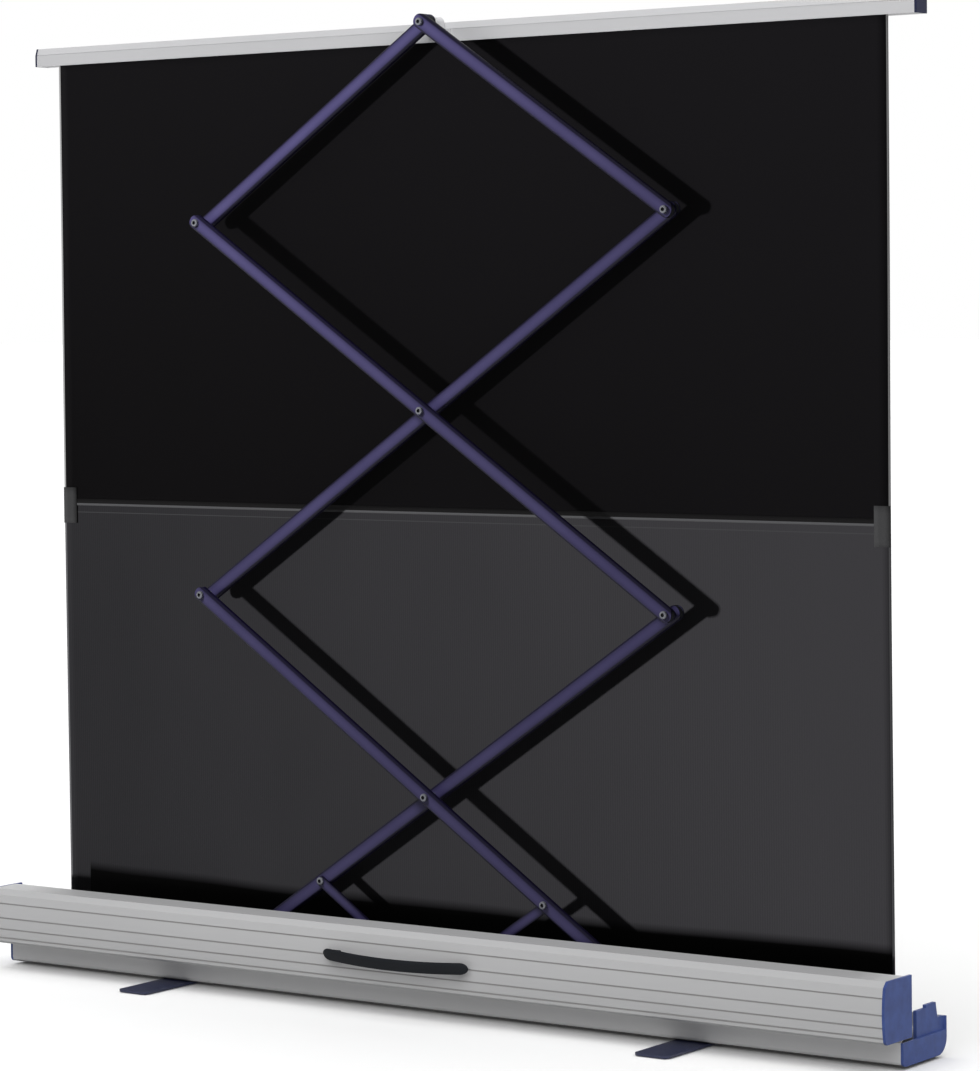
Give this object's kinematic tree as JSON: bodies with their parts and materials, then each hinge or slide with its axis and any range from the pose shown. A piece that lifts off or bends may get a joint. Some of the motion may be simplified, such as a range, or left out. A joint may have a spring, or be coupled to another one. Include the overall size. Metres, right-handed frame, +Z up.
{
  "type": "projection screen",
  "caption": "Portable floor-standing projection screen, shown raised: cloth on a spring roller in a floor case, held up by a scissor of flat arms, with lid, handle and swivel feet.",
  "frame": {"origin": "floor point under the middle of the whole object, at the feet's underside", "axes": "+X along the case to the audience's right, +Y to the rear where the scissor and lid are, +Z up"},
  "size_m": [1.367, 0.28, 1.2424],
  "materials": {
    "case_aluminium": "satin light grey finish",
    "cap_plastic": "moulded blue-grey plastic",
    "track_steel": "black coated steel",
    "rivet_steel": "zinc plated",
    "spring_steel": "oiled spring steel",
    "roller_aluminium": "mill finish",
    "black_plastic": "moulded",
    "arm_paint": "satin dark blue paint",
    "foot_paint": "satin dark blue paint",
    "pad_rubber": "matt",
    "handle_rubber": "matt",
    "screen_cloth": "coated cloth, white and black bordered on the audience side, dark grey ribbed behind",
    "backing_cloth": "black coated cloth"
  },
  "bodies": {
    "base": {"base_housing": "case_aluminium", "base_end_cap_left": "cap_plastic", "base_end_cap_right": "cap_plastic", "slider_track_left": "track_steel", "slider_track_right": "track_steel", "centre_pivot_block": "track_steel", "centre_pivot_pin": "rivet_steel", "block_screws": "rivet_steel", "roller_bearing_left": "black_plastic", "roller_bearing_right": "black_plastic", "spring_arbor": "spring_steel", "roller_spring": "spring_steel", "foot_pivot_rivets": "rivet_steel", "projection_sheet": "screen_cloth", "upper_backing": "backing_cloth", "backing_hem": "backing_cloth", "edge_tabs": "backing_cloth"},
    "roller": {"roller_tube": "roller_aluminium", "wound_sheet": "screen_cloth", "roller_plug_left": "black_plastic", "roller_plug_right": "black_plastic"},
    "lid": {"lid_shell": "case_aluminium", "lid_end_cap_left": "cap_plastic", "lid_end_cap_right": "cap_plastic", "handle_grip": "handle_rubber", "handle_mounts": "black_plastic", "handle_screws": "rivet_steel"},
    "short_link_left": {"short_link_left": "arm_paint", "link_pin_left": "rivet_steel"},
    "short_link_right": {"short_link_right": "arm_paint"},
    "lower_arm_rear": {"lower_arm_rear": "arm_paint", "lower_arm_rear_plugs": "black_plastic", "lower_rear_pins": "rivet_steel"},
    "lower_arm_front": {"lower_arm_front": "arm_paint", "lower_arm_front_plugs": "black_plastic", "lower_front_pin": "rivet_steel"},
    "middle_arm_front": {"middle_arm_front": "arm_paint", "middle_arm_front_plugs": "black_plastic", "middle_front_pins": "rivet_steel"},
    "middle_arm_rear": {"middle_arm_rear": "arm_paint", "middle_arm_rear_plugs": "black_plastic", "middle_rear_pins": "rivet_steel"},
    "upper_arm_front": {"upper_arm_front": "arm_paint", "upper_arm_front_plugs": "black_plastic"},
    "upper_arm_rear": {"upper_arm_rear": "arm_paint", "upper_arm_rear_plugs": "black_plastic"},
    "top_bar": {"top_bar": "case_aluminium", "top_bar_cap_left": "cap_plastic", "top_bar_cap_right": "cap_plastic", "top_bracket": "track_steel", "top_pin": "rivet_steel", "bracket_screws": "rivet_steel"},
    "slider_left": {"slider_left": "black_plastic"},
    "slider_right": {"slider_right": "black_plastic"},
    "foot_left": {"foot_plate_left": "foot_paint", "foot_pads_left": "pad_rubber"},
    "foot_right": {"foot_plate_right": "foot_paint", "foot_pads_right": "pad_rubber"}
  },
  "joints": [
    {"name": "fold", "type": "hinge", "parent": "base", "child": "short_link_left", "pos_m": [0, 0.0226, 0.027], "axis": [0, 1, 0], "range_deg": [-32.5, 0], "deforming": ["projection_sheet", "upper_backing", "backing_hem", "edge_tabs"]},
    {"name": "lower_rear_pivot", "type": "hinge", "parent": "short_link_left", "child": "lower_arm_rear", "pos_m": [-0.17803, 0.0226, 0.14754], "axis": [0, 1, 0], "range_deg": [0, 65]},
    {"name": "lower_cross_pivot", "type": "hinge", "parent": "lower_arm_rear", "child": "lower_arm_front", "pos_m": [0, 0.0226, 0.26808], "axis": [0, 1, 0], "range_deg": [-65, 0]},
    {"name": "middle_front_pivot", "type": "hinge", "parent": "lower_arm_rear", "child": "middle_arm_front", "pos_m": [0.35607, 0.0226, 0.50915], "axis": [0, 1, 0], "range_deg": [-65, 0]},
    {"name": "middle_cross_pivot", "type": "hinge", "parent": "middle_arm_front", "child": "middle_arm_rear", "pos_m": [0, 0.0226, 0.75022], "axis": [0, 1, 0], "range_deg": [0, 65]},
    {"name": "upper_front_pivot", "type": "hinge", "parent": "middle_arm_rear", "child": "upper_arm_front", "pos_m": [0.35607, 0.0226, 0.9913], "axis": [0, 1, 0], "range_deg": [-65, 0]},
    {"name": "upper_rear_pivot", "type": "hinge", "parent": "middle_arm_front", "child": "upper_arm_rear", "pos_m": [-0.35607, 0.0226, 0.9913], "axis": [0, 1, 0], "range_deg": [0, 65]},
    {"name": "top_bar_pivot", "type": "hinge", "parent": "upper_arm_rear", "child": "top_bar", "pos_m": [0, 0.0226, 1.23237], "axis": [0, 1, 0], "range_deg": [-32.5, 0]},
    {"name": "slider_left_pivot", "type": "hinge", "parent": "lower_arm_rear", "child": "slider_left", "pos_m": [-0.35607, 0.0226, 0.027], "axis": [0, 1, 0], "range_deg": [-32.5, 0]},
    {"name": "slider_right_pivot", "type": "hinge", "parent": "lower_arm_front", "child": "slider_right", "pos_m": [0.35607, 0.0226, 0.027], "axis": [0, 1, 0], "range_deg": [0, 32.5]},
    {"name": "short_link_right_pivot", "type": "hinge", "parent": "base", "child": "short_link_right", "pos_m": [0, 0.0226, 0.027], "axis": [0, 1, 0], "range_deg": [0, 32.5]},
    {"name": "roller_turn", "type": "hinge", "parent": "base", "child": "roller", "pos_m": [0, -0.03, 0.025], "axis": [1, 0, 0], "range_deg": [0, 4485]},
    {"name": "lid_hinge", "type": "hinge", "parent": "base", "child": "lid", "pos_m": [0, 0.048, 0.037], "axis": [1, 0, 0], "range_deg": [-30, 0]},
    {"name": "foot_left_swivel", "type": "hinge", "parent": "base", "child": "foot_left", "pos_m": [-0.396, 0, 0], "axis": [0, 0, 1], "range_deg": [0, 90]},
    {"name": "foot_right_swivel", "type": "hinge", "parent": "base", "child": "foot_right", "pos_m": [0.396, 0, 0], "axis": [0, 0, 1], "range_deg": [-90, 0]}
  ],
  "couplings": [
    {"joint": "lower_rear_pivot", "follows": "fold", "ratio": -2},
    {"joint": "lower_cross_pivot", "follows": "fold", "ratio": 2},
    {"joint": "middle_front_pivot", "follows": "fold", "ratio": 2},
    {"joint": "middle_cross_pivot", "follows": "fold", "ratio": -2},
    {"joint": "upper_front_pivot", "follows": "fold", "ratio": 2},
    {"joint": "upper_rear_pivot", "follows": "fold", "ratio": -2},
    {"joint": "top_bar_pivot", "follows": "fold", "ratio": 1},
    {"joint": "slider_left_pivot", "follows": "fold", "ratio": 1},
    {"joint": "slider_right_pivot", "follows": "fold", "ratio": -1},
    {"joint": "short_link_right_pivot", "follows": "fold", "ratio": -1},
    {"joint": "roller_turn", "follows": "fold", "ratio": -138}
  ]
}
